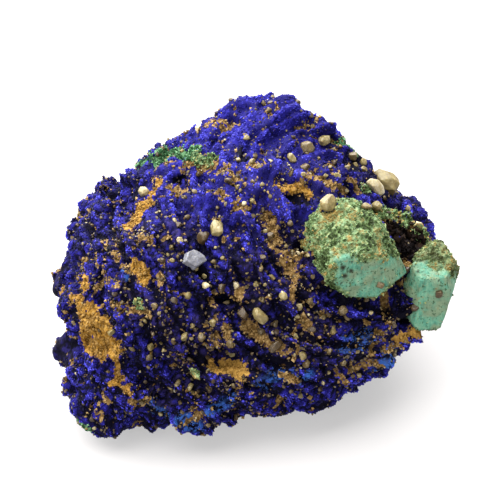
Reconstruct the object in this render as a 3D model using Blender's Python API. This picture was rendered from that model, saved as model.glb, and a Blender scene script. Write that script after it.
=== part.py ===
"""Azurite specimen, about 50 mm wide: a rough nodule of drusy azurite on sandy matrix, with two malachite
crystals and the larger quartz grains set in its surface.

Metres, +Z up. The origin is on the surface that the nodule rests on, under the middle of its box.
The front is -Y. Run with: blender --background --python part.py
"""

import math
import random

import bmesh
import bpy
from mathutils import Matrix, Vector, noise
from mathutils.bvhtree import BVHTree

MM = 0.001
SAME_PLACE = 1e-6  # metres: closer than this, points count as one

# ---- driving dimensions, in millimetres
# The nodule is a heap of blunt lobes: centre, half sizes and turn about the upright axis in degrees.
LOBES = {
    "core": ((-0.4, 1.0, 14.8), (17.0, 17.3, 14.0), 0),
    "front_face": ((-9.0, -7.0, 12.5), (13.0, 11.5, 12.3), 20),
    "left_cheek": ((-14.3, -4.0, 12.0), (7.8, 10.8, 10.0), 0),
    "left_foot": ((-13.8, -11.6, 4.6), (8.5, 8.6, 6.4), 0),
    "front_foot": ((-5.0, -12.5, 5.0), (9.5, 7.6, 5.9), 0),
    "front_belly": ((5.0, -8.7, 8.6), (13.2, 9.8, 8.4), 12),
    "right_belly": ((12.7, -2.2, 11.1), (10.6, 10.5, 10.0), 0),
    "right_rim": ((18.3, 0.5, 12.6), (4.8, 6.0, 6.0), 0),
    "right_shoulder": ((11.4, 4.5, 13.4), (7.9, 9.0, 8.3), 0),
    "right_back": ((18.4, 6.0, 13.8), (3.6, 4.5, 4.6), 0),
    "top_left": ((-6.2, 0.6, 18.5), (7.6, 7.8, 6.6), 0),
    "back_ridge": ((3.2, 9.5, 18.2), (9.1, 9.2, 9.4), 0),
    "back_crown": ((1.9, 9.0, 22.6), (7.0, 7.0, 6.8), 0),
    "back_foot": ((2.0, 11.0, 8.6), (14.0, 11.5, 9.8), 0),
    "right_foot": ((9.5, -0.6, 4.6), (6.4, 6.8, 6.5), 0),
    "left_shoulder": ((-16.0, 2.5, 17.0), (6.2, 7.0, 5.6), 0),
    "left_knob_high": ((-22.3, 1.0, 10.0), (3.0, 3.0, 3.0), 0),
    "left_knob_low": ((-21.8, -7.5, 5.2), (3.0, 2.8, 2.4), 0),
}
BLEND_VOXEL = 0.9  # the lobes melt together at this grain
BLEND_STEPS = 10

# Botryoidal lumps of azurite all over the crust.
LUMP_COUNT = 230
LUMP_RADIUS = (1.1, 2.3)
LUMP_SUNK = 0.42  # share of its radius that a lump's centre lies under the crust
LUMP_DRIFT = 5.0  # degrees that a lump strays from its even place
LUMP_FLATTEST = 0.75  # narrowest lump, as a share of its length
LUMP_SEED = 7

# Growth shells: the crust breaks into ledges that curve round the malachite.
SHELL_CENTRE = (12.0, -2.0, 24.0)
SHELL_PITCH = 4.2
SHELL_HEIGHT = 1.1
SHELL_RISE = 0.7  # share of the pitch over which a ledge rises before it breaks off
SHELL_WAVER = ((0.11, 2.2), (0.31, 0.8))  # how the ledges wander: noise cycles per millimetre and reach
RELIEF = ((0.22, 0.7), (0.55, 0.3))  # the crust's roughness: noise cycles per millimetre and height

# Broken hollows, as azimuth and elevation seen from the hub, then radius and depth. Azimuth 0 is
# the front and 90 the right. A depth below zero is a crest.
HUB = (0.0, 0.0, 14.0)
OUTSIDE = 60.0  # how far from the hub every sight line starts
HOLLOWS = {
    "ochre_hollow_high": (-54, 8, 3.4, 1.9),
    "ochre_hollow_low": (-45, 0, 3.4, 1.9),
    "ochre_shelf": (-10, -9, 2.4, 1.4),
    "sand_valley_high": (13, 55, 3.2, 1.5),
    "sand_valley": (19, 42, 3.2, 1.8),
    "sand_valley_low": (17, 28, 3.2, 1.6),
    "front_pocket": (-4, 22, 3.2, 1.6),
    "front_pocket_low": (10, 1, 2.8, 1.4),
    "oxide_pit": (84, 17, 2.6, 2.4),
    "dark_pit": (56, 2, 2.3, 2.2),
    "foot_gap": (-32, -22, 2.8, 1.5),
    "crest_notch": (-72, 62, 2.6, 1.2),
    "crest_left": (-97, 49, 2.6, -0.6),
    "crest_right": (-98, 67, 2.8, -0.9),
}

SKIN_VOXEL = 0.5
SKIN_TRIANGLES = 6600
REST_CUT = 1.3  # the lowest crust is worn flat up to this height
GAP = 0.3  # clearance round every crystal and grain that is set in the nodule

# Malachite crystals, each the stone inside a set of flat faces. A face is its azimuth, its elevation and its
# distance from the crystal's centre.
MALACHITE = {
    "malachite_crystal_front": {
        "centre": (12.1, -8.0, 22.1),
        "faces": (
            (10, 0, 5.2), (-10, 52, 5.6), (-52, 14, 5.9), (58, 16, 5.4), (90, 0, 6.7), (106, 24, 4.7),
            (128, 38, 4.9), (180, 54, 6.2), (-130, 42, 6.5), (-106, 24, 6.6), (-90, 0, 6.6),
            (-68, -28, 5.2), (-49, -41, 5.2), (0, -54, 6.2), (54, -38, 6.8), (178, -10, 5.2),
        ),
    },
    "malachite_crystal_side": {
        "centre": (22.1, -5.6, 14.6),
        "faces": (
            (8, 8, 4.2), (4, 56, 5.5), (64, 10, 3.6), (-50, 10, 3.9), (90, 0, 3.1), (109, 24, 3.8),
            (135, 44, 5.5), (-130, 42, 4.7), (-105, 20, 3.2), (-90, 0, 3.5), (0, 90, 6.8), (0, -90, 5.6),
            (-68, -28, 4.0), (0, -54, 5.4), (45, -44, 4.9), (71, -24, 3.6), (180, -10, 4.6),
        ),
    },
}
CRYSTAL_BLOCK = 9.0  # half side of the block that the faces are cut from
CRYSTAL_VOXEL = 0.4
CRYSTAL_WEAR = 3  # smoothing steps that blunt the edges
CRYSTAL_GRAIN = (0.7, 0.4)  # the faces' own roughness: noise cycles per millimetre and depth
CRYSTAL_TRIANGLES = 700

# Quartz grains that stand out of the crust: azimuth and elevation from the hub, then length, width and
# thickness, spin in the surface, and the share of the thickness that is sunk.
QUARTZ = {
    "quartz_pebble_back": (114, 20.5, 4.0, 3.4, 3.4, 20, 0.35),
    "quartz_pebble_white": (101, 31.5, 3.2, 1.8, 1.8, 60, 0.40),
    "quartz_flake": (-27, 35.5, 3.0, 2.4, 0.9, 0, 0.35),
    "quartz_grain_crown": (121, 61, 2.5, 2.1, 2.0, 80, 0.45),
    "quartz_grain_top": (131, 48, 1.9, 1.5, 1.5, 0, 0.40),
    "quartz_grain_by_malachite": (50, 51, 2.7, 1.9, 2.0, 170, 0.50),
    "quartz_grain_on_rim": (76, 38, 2.0, 1.6, 1.6, 0, 0.45),
    "quartz_grain_beside_rim": (90, 30.5, 1.5, 1.3, 1.3, 10, 0.40),
    "quartz_grain_left": (-86, 42, 1.7, 1.3, 1.4, 15, 0.40),
    "quartz_grain_centre": (-22, 50, 2.2, 1.8, 1.8, 60, 0.45),
    "quartz_grain_front": (4, 15.5, 2.7, 1.5, 1.7, 128, 0.40),
    "quartz_grain_right": (38.5, 11, 1.4, 1.3, 1.3, 50, 0.40),
    "quartz_grain_low": (10, 2, 2.3, 1.3, 1.5, 35, 0.45),
}
FLAKE_OUTLINE = (  # the flake's corners, as shares of half its length and width
    (-1.0, 0.3), (-0.2, 1.0), (0.5, 1.0), (1.0, 0.2), (1.0, -1.0), (-0.45, -0.9),
)
FLAKE_BEVEL = 0.9  # its upper face against its lower face
GRAIN_CORNERS = 22
GRAIN_WOBBLE = 0.3  # radians that a corner strays round the grain
GRAIN_WORN = 0.84  # how far in a corner may be worn, as a share of the oval
GRAIN_BLOCKY = 0.72  # 1 makes an oval, less makes it boxy
GRAIN_SEED = 3
GOLDEN_TURN = math.pi * (3 - math.sqrt(5))  # spreads points evenly over a ball

MATERIALS = {  # colour, roughness
    "azurite": ((0.035, 0.035, 0.33), 0.42),
    "malachite": ((0.30, 0.62, 0.45), 0.75),
    "quartz": ((0.74, 0.68, 0.52), 0.30),
}


def clear_scene():
    for old in list(bpy.data.objects):
        bpy.data.objects.remove(old)


def material(name):
    made = bpy.data.materials.get(name) or bpy.data.materials.new(name)
    made.use_nodes = True
    colour, roughness = MATERIALS[name]
    surface = made.node_tree.nodes["Principled BSDF"]
    surface.inputs["Base Color"].default_value = (*colour, 1.0)
    surface.inputs["Roughness"].default_value = roughness
    surface.inputs["Metallic"].default_value = 0.0
    made.diffuse_color = (*colour, 1.0)
    return made


def heading(azimuth, elevation):
    """Unit vector for an azimuth from the front towards the right, and an elevation, in degrees."""
    a, e = math.radians(azimuth), math.radians(elevation)
    return Vector((math.sin(a) * math.cos(e), -math.cos(a) * math.cos(e), math.sin(e)))


def object_of(name, mesh, look):
    node = bpy.data.objects.new(name, mesh)
    mesh.materials.clear()
    mesh.materials.append(material(look))
    bpy.context.scene.collection.objects.link(node)
    return node


def mesh_of(shape, name):
    mesh = bpy.data.meshes.new(name)
    shape.to_mesh(mesh)
    shape.free()
    return mesh


def helper(name, mesh):
    """An object that only shapes others, which a render leaves out."""
    made = bpy.data.objects.new(name, mesh)
    made.hide_render = True
    made.display_type = "WIRE"
    bpy.context.scene.collection.objects.link(made)
    return made


def baked(source):
    """The object's mesh with its modifiers applied, on an object with none."""
    graph = bpy.context.evaluated_depsgraph_get()
    mesh = bpy.data.meshes.new_from_object(source.evaluated_get(graph))
    bpy.data.objects.remove(source)
    return mesh


def add_blob(shape, centre, radii, turn, detail):
    place = (
        Matrix.Translation(Vector(centre) * MM)
        @ Matrix.Rotation(math.radians(turn), 4, "Z")
        @ Matrix.Diagonal((*(Vector(radii) * MM), 1.0))
    )
    bmesh.ops.create_icosphere(shape, subdivisions=detail, radius=1.0, matrix=place)


def remeshed(mesh, voxel, smoothing):
    """One closed skin round everything in mesh."""
    body = helper("remesh", mesh)
    skin = body.modifiers.new("skin", "REMESH")
    skin.mode = "VOXEL"
    skin.voxel_size = voxel * MM
    if smoothing:
        melt = body.modifiers.new("melt", "SMOOTH")
        melt.factor = 0.5
        melt.iterations = smoothing
    return baked(body)


def thinned(mesh, triangles):
    """The mesh of quads brought down to about that many triangles, the flattest places first."""
    body = helper("thinned", mesh)
    facets = body.modifiers.new("facets", "DECIMATE")
    facets.ratio = triangles / (2 * len(mesh.polygons))
    return baked(body)


def surface_of(*meshes):
    """What a ray meets on any of the meshes."""
    points, faces = [], []
    for mesh in meshes:
        faces += [[len(points) + i for i in p.vertices] for p in mesh.polygons]
        points += [v.co for v in mesh.vertices]
    return BVHTree.FromPolygons(points, faces)


def spot(surface, azimuth, elevation):
    """Where the ray from the hub leaves the surface, and the surface's normal there."""
    out = heading(azimuth, elevation)
    place, normal, _, _ = surface.ray_cast((Vector(HUB) + out * OUTSIDE) * MM, -out)
    return place, normal if normal.dot(out) > 0 else -normal


def heap_of_lobes():
    shape = bmesh.new()
    for centre, radii, turn in LOBES.values():
        add_blob(shape, centre, radii, turn, 4)
    return remeshed(mesh_of(shape, "lobes"), BLEND_VOXEL, BLEND_STEPS)


def lumpy(mesh):
    """The heap with its botryoidal lumps, spread evenly and nudged by seeded chance."""
    chance = random.Random(LUMP_SEED)
    drift = (-LUMP_DRIFT, LUMP_DRIFT)
    surface = surface_of(mesh)
    shape = bmesh.new()
    shape.from_mesh(mesh)
    for i in range(LUMP_COUNT):
        azimuth = math.degrees(i * GOLDEN_TURN) + chance.uniform(*drift)
        elevation = math.degrees(math.asin(1 - 2 * (i + 0.5) / LUMP_COUNT)) + chance.uniform(*drift)
        place, normal = spot(surface, azimuth, elevation)
        radius = chance.uniform(*LUMP_RADIUS)
        centre = place / MM - normal * radius * LUMP_SUNK
        flat = chance.uniform(LUMP_FLATTEST, 1.0)
        add_blob(shape, centre, (radius, radius * flat, radius), chance.uniform(0, 180), 2)
    return remeshed(mesh_of(shape, "lumps"), SKIN_VOXEL, 2)


def waves(place, layers):
    return sum(reach * noise.noise(place * cycles) for cycles, reach in layers)


def relief_height(place):
    """Height of the crust at a place, in millimetres: ledges round the shells' centre, and roughness."""
    turn = ((place - Vector(SHELL_CENTRE)).length + waves(place, SHELL_WAVER)) / SHELL_PITCH % 1.0
    step = turn / SHELL_RISE if turn < SHELL_RISE else (1.0 - turn) / (1.0 - SHELL_RISE)
    return (step - 0.5) * SHELL_HEIGHT + waves(place, RELIEF)


def weathered(mesh):
    """The skin with its ledges, its roughness and its broken hollows."""
    surface = surface_of(mesh)
    dents = [(spot(surface, a, e)[0] / MM, radius, depth) for a, e, radius, depth in HOLLOWS.values()]
    normals = [v.normal.copy() for v in mesh.vertices]
    for vertex, normal in zip(mesh.vertices, normals):
        place = vertex.co / MM
        height = relief_height(place)
        for centre, radius, depth in dents:
            reach = (place - centre).length / radius
            if reach < 1.0:
                height -= depth * (1.0 - reach * reach) ** 2
        vertex.co += normal * height * MM
    return mesh


def rested(mesh):
    """The mesh set down with its lowest crust worn flat on Z 0, over the middle of its box."""
    shape = bmesh.new()
    shape.from_mesh(mesh)
    lowest = min(v.co.z for v in shape.verts) + REST_CUT * MM
    cut = bmesh.ops.bisect_plane(
        shape,
        geom=shape.verts[:] + shape.edges[:] + shape.faces[:],
        dist=SAME_PLACE,
        plane_co=(0, 0, lowest),
        plane_no=(0, 0, -1),
        clear_outer=True,
    )
    rim = [e for e in cut["geom_cut"] if isinstance(e, bmesh.types.BMEdge)]
    bmesh.ops.holes_fill(shape, edges=rim)
    bmesh.ops.triangulate(shape, faces=shape.faces[:])
    bmesh.ops.translate(shape, verts=shape.verts[:], vec=(0, 0, -lowest))
    return mesh_of(shape, "rested")


def nodule():
    return rested(thinned(weathered(lumpy(heap_of_lobes())), SKIN_TRIANGLES))


def cut_stone(faces, grown=0.0):
    """The stone inside the flat faces, about its own centre. A grown one is larger all round."""
    shape = bmesh.new()
    bmesh.ops.create_cube(shape, size=2 * CRYSTAL_BLOCK * MM)
    for azimuth, elevation, distance in faces:
        out = heading(azimuth, elevation)
        cut = bmesh.ops.bisect_plane(
            shape,
            geom=shape.verts[:] + shape.edges[:] + shape.faces[:],
            plane_co=out * (distance + grown) * MM,
            plane_no=out,
            clear_outer=True,
        )
        rim = [e for e in cut["geom_cut"] if isinstance(e, bmesh.types.BMEdge)]
        if rim:
            bmesh.ops.holes_fill(shape, edges=rim)
    bmesh.ops.triangulate(shape, faces=shape.faces[:])
    bmesh.ops.recalc_face_normals(shape, faces=shape.faces[:])
    return mesh_of(shape, "stone")


def crystal(centre, faces):
    """A malachite crystal with blunt edges and grainy faces, which stay inside the cut stone."""
    mesh = remeshed(cut_stone(faces), CRYSTAL_VOXEL, CRYSTAL_WEAR)
    cycles, depth = CRYSTAL_GRAIN
    for vertex in mesh.vertices:
        vertex.co -= vertex.co.normalized() * abs(noise.noise(vertex.co / MM * cycles)) * depth * MM
    mesh = thinned(mesh, CRYSTAL_TRIANGLES)
    mesh.transform(Matrix.Translation(Vector(centre) * MM))
    return mesh


def crystal_socket(centre, faces):
    mesh = cut_stone(faces, GAP)
    mesh.transform(Matrix.Translation(Vector(centre) * MM))
    return mesh


def oval_points(chance, half):
    """Corners on a blocky oval, some of them worn back."""
    for i in range(GRAIN_CORNERS):
        height = 1 - 2 * (i + 0.5) / GRAIN_CORNERS
        turn = i * GOLDEN_TURN + chance.uniform(-GRAIN_WOBBLE, GRAIN_WOBBLE)
        ring = math.sqrt(1 - height * height)
        worn = chance.uniform(GRAIN_WORN, 1.0)
        out = (math.cos(turn) * ring, math.sin(turn) * ring, height)
        yield Vector(math.copysign(abs(a) ** GRAIN_BLOCKY, a) * b * worn for a, b in zip(out, half))


def flake_points(half):
    """Corners of a thin plate."""
    for x, y in FLAKE_OUTLINE:
        yield Vector((x * half.x, y * half.y, -half.z))
        yield Vector((x * half.x * FLAKE_BEVEL, y * half.y * FLAKE_BEVEL, half.z))


def grain(surface, chance, name, grown=0.0):
    """A blunt quartz grain: the hull of its corners, its thickness along the crust's normal."""
    azimuth, elevation, length, width, thickness, spin, sunk = QUARTZ[name]
    place, normal = spot(surface, azimuth, elevation)
    lean = normal.to_track_quat("Z", "Y").to_matrix().to_4x4()
    middle = place + normal * thickness * (0.5 - sunk) * MM
    frame = Matrix.Translation(middle) @ lean @ Matrix.Rotation(math.radians(spin), 4, "Z")
    half = Vector((length, width, thickness)) / 2 + Vector((grown,) * 3)
    corners = flake_points(half) if name == "quartz_flake" else oval_points(chance, half)
    shape = bmesh.new()
    for corner in corners:
        shape.verts.new(frame @ (corner * MM))
    made = bmesh.ops.convex_hull(shape, input=shape.verts[:])
    bmesh.ops.delete(shape, geom=made["geom_interior"], context="VERTS")
    bmesh.ops.recalc_face_normals(shape, faces=shape.faces[:])
    return shape


def socket(node, mesh, name):
    """Cuts the grown shape of a crystal or grain out of a node."""
    cutter = helper(f"cut_{name}", mesh)
    cut = node.modifiers.new(name, "BOOLEAN")
    cut.operation = "DIFFERENCE"
    cut.object = cutter


def near(node, reach, place):
    """True if the node's box comes within reach of a place."""
    for k in range(3):
        along = [v.co[k] for v in node.data.vertices]
        if not min(along) - reach < place[k] < max(along) + reach:
            return False
    return True


def specimen():
    """The nodule, then the crystals set in it, then the grains set in any of them."""
    body = object_of("azurite_nodule", nodule(), "azurite")
    nodes = [body]
    for name, form in MALACHITE.items():
        for node in nodes:
            socket(node, crystal_socket(form["centre"], form["faces"]), name)
        nodes.append(object_of(name, crystal(form["centre"], form["faces"]), "malachite"))
    hosts = list(nodes)
    surface = surface_of(*(node.data for node in hosts))
    for i, (name, form) in enumerate(QUARTZ.items()):
        azimuth, elevation, length = form[:3]
        place, _ = spot(surface, azimuth, elevation)
        for node in hosts:
            if near(node, length * MM, place):
                cutter = grain(surface, random.Random(GRAIN_SEED + i), name, grown=GAP)
                socket(node, mesh_of(cutter, name), name)
        made = grain(surface, random.Random(GRAIN_SEED + i), name)
        nodes.append(object_of(name, mesh_of(made, name), "quartz"))
    return nodes


def without_crumbs(node):
    """Applies the node's cuts and drops the loose crumbs that they leave between two sockets."""
    graph = bpy.context.evaluated_depsgraph_get()
    shape = bmesh.new()
    shape.from_mesh(bpy.data.meshes.new_from_object(node.evaluated_get(graph)))
    node.modifiers.clear()
    left, pieces = set(shape.verts), []
    while left:
        piece, edge = set(), [left.pop()]
        while edge:
            vertex = edge.pop()
            piece.add(vertex)
            around = {e.other_vert(vertex) for e in vertex.link_edges} & left
            left -= around
            edge.extend(around)
        pieces.append(piece)
    pieces.sort(key=len)
    crumbs = [v for piece in pieces[:-1] for v in piece]
    bmesh.ops.delete(shape, geom=crumbs, context="VERTS")
    shape.to_mesh(node.data)
    shape.free()


def centred(nodes):
    """Parents the nodes to one empty that puts the middle of their box over the origin."""
    points = [v.co for node in nodes for v in node.data.vertices]
    middle = [(min(p[k] for p in points) + max(p[k] for p in points)) / 2 for k in range(2)]
    stand = bpy.data.objects.new("specimen", None)
    bpy.context.scene.collection.objects.link(stand)
    for node in nodes:
        node.parent = stand
    stand.location = (-middle[0], -middle[1], 0.0)


clear_scene()
parts = specimen()
for part in parts:
    without_crumbs(part)
centred(parts)
for cutter in [o for o in bpy.data.objects if o.hide_render]:
    bpy.data.objects.remove(cutter)
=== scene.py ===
"""Looks of the azurite specimen: a druse of deep blue azurite over a sandy ochre crust, with two malachite
crystals, coarse quartz grains, and crumbs of ochre, green malachite and dark oxide.

Metres, +Z up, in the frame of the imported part.
"""

import math

import bmesh
import bpy
import numpy as np
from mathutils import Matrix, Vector, kdtree, noise
from mathutils.bvhtree import BVHTree


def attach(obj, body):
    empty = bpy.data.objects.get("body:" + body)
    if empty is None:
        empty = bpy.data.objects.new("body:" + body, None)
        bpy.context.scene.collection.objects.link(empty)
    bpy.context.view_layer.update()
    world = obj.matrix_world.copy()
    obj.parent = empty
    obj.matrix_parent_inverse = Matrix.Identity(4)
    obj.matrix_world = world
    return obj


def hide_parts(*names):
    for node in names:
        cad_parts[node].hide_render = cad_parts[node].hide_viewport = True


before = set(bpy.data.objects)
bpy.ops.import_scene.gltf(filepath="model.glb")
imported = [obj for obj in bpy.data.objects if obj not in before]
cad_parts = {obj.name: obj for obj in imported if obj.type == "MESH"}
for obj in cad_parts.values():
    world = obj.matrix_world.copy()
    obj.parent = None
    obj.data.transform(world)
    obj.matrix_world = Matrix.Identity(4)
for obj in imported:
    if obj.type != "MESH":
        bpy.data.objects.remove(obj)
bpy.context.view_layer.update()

MM = 0.001
SAME_PLACE = 1e-6  # metres: closer than this, points count as one
FLOOR_CLEAR = 0.02 * MM  # how far everything stays above the floor
NODULE = "azurite_nodule"
WAVE_STEP, CELL_STEP = 7.31, 5.17  # how far apart in the noise two seeds lie
BAKE_MAP = "OFBake"  # the map that a piece is baked through
BAKE_LEAN, BAKE_SIZE = 0.3, 0.22  # how a small copy's second axis and its size lie on its square of that map

# ---- the photograph's camera
PHOTO = 500  # the photograph's width and height in pixels
ELEVATION = math.radians(36)
DISTANCE = 340 * MM
LENS, SENSOR = 199, 36
CLIP = (10 * MM, 10)
AIM = Vector((0, -1.2, 16.4)) * MM
RIGHT = Vector((1, 0, 0))
UP = Vector((0, math.sin(ELEVATION), math.cos(ELEVATION)))
BACK = Vector((0, -math.cos(ELEVATION), math.sin(ELEVATION)))
EYE = AIM + BACK * DISTANCE

# ---- light and floor
WORLD = 0.60
LIGHTS = {  # place, watts, size
    "key": ((-0.08, 0.13, 0.30), 10.0, 0.75),
    "fill": ((-0.16, -0.45, 0.20), 1.4, 0.40),
}
FLOOR_HALF = 3.0  # metres
FLOOR_SQUARES = 8
FLOOR_ROUGH, FLOOR_GLOW = 0.9, 0.40

# ---- colours, and ramps of them over noise or over a tone
BLUE_DEEP = (0.005, 0.004, 0.030)
BLUE_MID = (0.019, 0.016, 0.175)
BLUE_BRIGHT = (0.070, 0.070, 0.480)
SKY_BLUE = (0.030, 0.084, 0.265)
# paler blue: painted light on the crown
CROWN_LIGHT_BLUE = (0.026, 0.023, 0.220)
# near black: painted shade in the creases and holes of the crust
PAINTED_SHADE_BLUE = (0.0015, 0.001, 0.007)
VIOLET = (0.012, 0.009, 0.060)
OCHRE_TONES = ((0.050, 0.028, 0.010), (0.150, 0.092, 0.033), (0.310, 0.215, 0.098))
GOLD_WARM = (0.240, 0.136, 0.030)
# paler gold: the ochre's own lighter colour, with painted light on the shelf
GOLD_PALE_AND_LIT = (0.430, 0.265, 0.075)
GREEN_DARK = (0.014, 0.050, 0.020)
TEAL_TONES = (GREEN_DARK, (0.045, 0.112, 0.050), (0.150, 0.270, 0.150))
# dark olive: painted shade on the malachite's crumbly tops
PAINTED_SHADE_GREEN = (0.045, 0.040, 0.014)
STAIN = (0.016, 0.018, 0.009)
OXIDE = (0.004, 0.0025, 0.003)
OXIDE_TONES = (OXIDE, OXIDE, (0.020, 0.012, 0.008))
DIRT = (0.026, 0.018, 0.013)
WHITE = (1, 1, 1)

CRUST_BLUES = ((0.30, BLUE_DEEP), (0.62, BLUE_MID))
CRYSTAL_BLUES = ((0.05, BLUE_DEEP), (0.45, BLUE_MID), (0.95, BLUE_BRIGHT))
GOLDS = ((0.36, (0.060, 0.028, 0.006)), (0.47, (0.215, 0.114, 0.019)), (0.62, (0.370, 0.225, 0.062)))
CRUST_STOPS = (0.3, 0.5, 0.7)  # where three tones lie in a ramp of the crust
CRUMB_STOPS = (0.1, 0.5, 0.9)  # where they lie in one of the crumbs
SANDS = (
    (0.0, (0.028, 0.015, 0.006)), (0.30, (0.060, 0.038, 0.014)), (0.52, (0.105, 0.076, 0.030)),
    # the last stop, reached by the quartz flake, is its own grey darkened as painted shade
    (0.70, (0.205, 0.166, 0.070)), (0.85, (0.390, 0.335, 0.215)), (1.0, (0.130, 0.130, 0.146)),
)
VERDIGRIS = (
    (0.0, (0.026, 0.040, 0.013)), (0.12, (0.062, 0.095, 0.034)), (0.26, (0.108, 0.158, 0.062)),
    (0.38, (0.160, 0.245, 0.130)), (0.50, (0.250, 0.290, 0.140)), (0.62, (0.170, 0.136, 0.045)),
    (0.78, (0.330, 0.228, 0.075)), (0.98, (0.410, 0.350, 0.200)),
)
MINTS = (
    (0.34, (0.050, 0.160, 0.112)), (0.46, (0.084, 0.234, 0.166)), (0.56, (0.118, 0.258, 0.174)),
    (0.70, (0.180, 0.320, 0.225)),
)
MINT_SPOTS = (  # cycles per millimetre, detail, noise over which a spot sets in, its strength, its colour
    (0.40, 3, 0.46, 0.64, 0.7, (0.165, 0.190, 0.115)),
    (2.6, 3, 0.56, 0.68, 0.5, (0.200, 0.265, 0.180)),
    (3.1, 2, 0.58, 0.67, 0.8, GREEN_DARK),
    (1.5, 2, 0.62, 0.72, 0.5, (0.230, 0.170, 0.080)),
)
FLOORS = ((0.0, (0.21, 0.200, 0.197)), (1.0, (0.22, 0.210, 0.207)))
NOISE_SPAN = (0.3, 0.7)  # where most values of a noise texture lie

# ---- the crust. Lengths in millimetres where MM isn't in them, noise as share, cycles per millimetre, seed.
SKIN_VOXEL = 0.31 * MM
SKIN_STEPS = 5  # smoothing that melts the solid's facets
SKIN_EASE = (0.45, 2)  # how far and how often its points are eased in the end, to blunt needles
SOCKET_FILL = 0.25 * MM  # how far a set-in stone is grown, to close the gap round it
SUNK = 0.75 * MM  # how far the crust then draws back under that stone
SUNK_REACH = (0.38 * MM, 0.70 * MM)
CRYSTAL_CLEAR = 0.7  # how far the crust stays inside a malachite crystal's faces

SHELL_CENTRE = np.array((12.0, -3.2, 25.5))  # the growth shells curve round it
SHELL_STRETCH = (2.6, 26.0, 4.0)  # distance from it is times the first, less the second, at least the third
LUMPS = (  # cycles per millimetre, crease depth, crease width in cells, dome, seed
    (0.30, 0.52, 0.22, 0.6, 3),
    (0.75, 0.36, 0.26, 0.6, 17),
)
CELL_RIM = 0.45  # distance from a cell's middle at which its dome starts
LEDGES = ((2.9, 0.80, 23), (1.5, 0.75, 27))  # pitch, height, seed; the noise on them is in cycles per pitch
LEDGE_RISE = 0.78  # share of its pitch over which a ledge rises before it breaks off
LEDGE_WANDER = ((0.5, 0.25, 0), (0.2, 0.9, 1))
LEDGE_PATCHES = ((1.0, 0.45, 2),)
LEDGE_FADE = (-0.45, 0.15)  # patches of noise below which a ledge fades
LEDGE_LEAST = 0.45  # share of its height that it keeps there
LEDGE_GAP = (0.04, 0.16)  # share of its pitch within which a point lies in its crease
ROUGHNESS = ((0.25, 0.35, 5), (0.22, 1.4, 9))
PITS = 0.55  # depth of the pits in ochre and golden matrix
PIT_NOISE = ((1.0, 1.3, 71),)
PIT_SPAN = (0.05, 0.55)
EARTHY_FLAT, EARTHY_WHOLE = 0.7, 0.8  # how much lumps and creases fade where the matrix is bare
SMOOTH_FLAT = 0.8  # how much relief the smooth knobs lose
FOOT = (1, 8)  # height below which the relief is flatter
FOOT_RELIEF = 0.35  # share of the relief that is left at the floor
RELIEF = 1.4  # height between the darkest and the brightest blue: crests are painted lighter and hollows darker, as painted light and shade
HIGH = (24, 30)  # height over which the blue grows paler, as painted light on the crown
LOW = (9, 19)  # height below which it is a little paler again
THREAD_NOISE = ((1.0, 0.42, 33), (0.5, 1.3, 34))
THREAD_CREASE = 0.35  # how much a crease draws the threads of ochre
THREAD_SPAN = (0.70, 0.82)
THREAD_MOST = 0.9
UNSEEN = (-0.20, 0.15)  # how far unseen and seen faces turn to the camera
UNSEEN_THREADS = 0.28  # how much more they run where it is unseen

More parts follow.
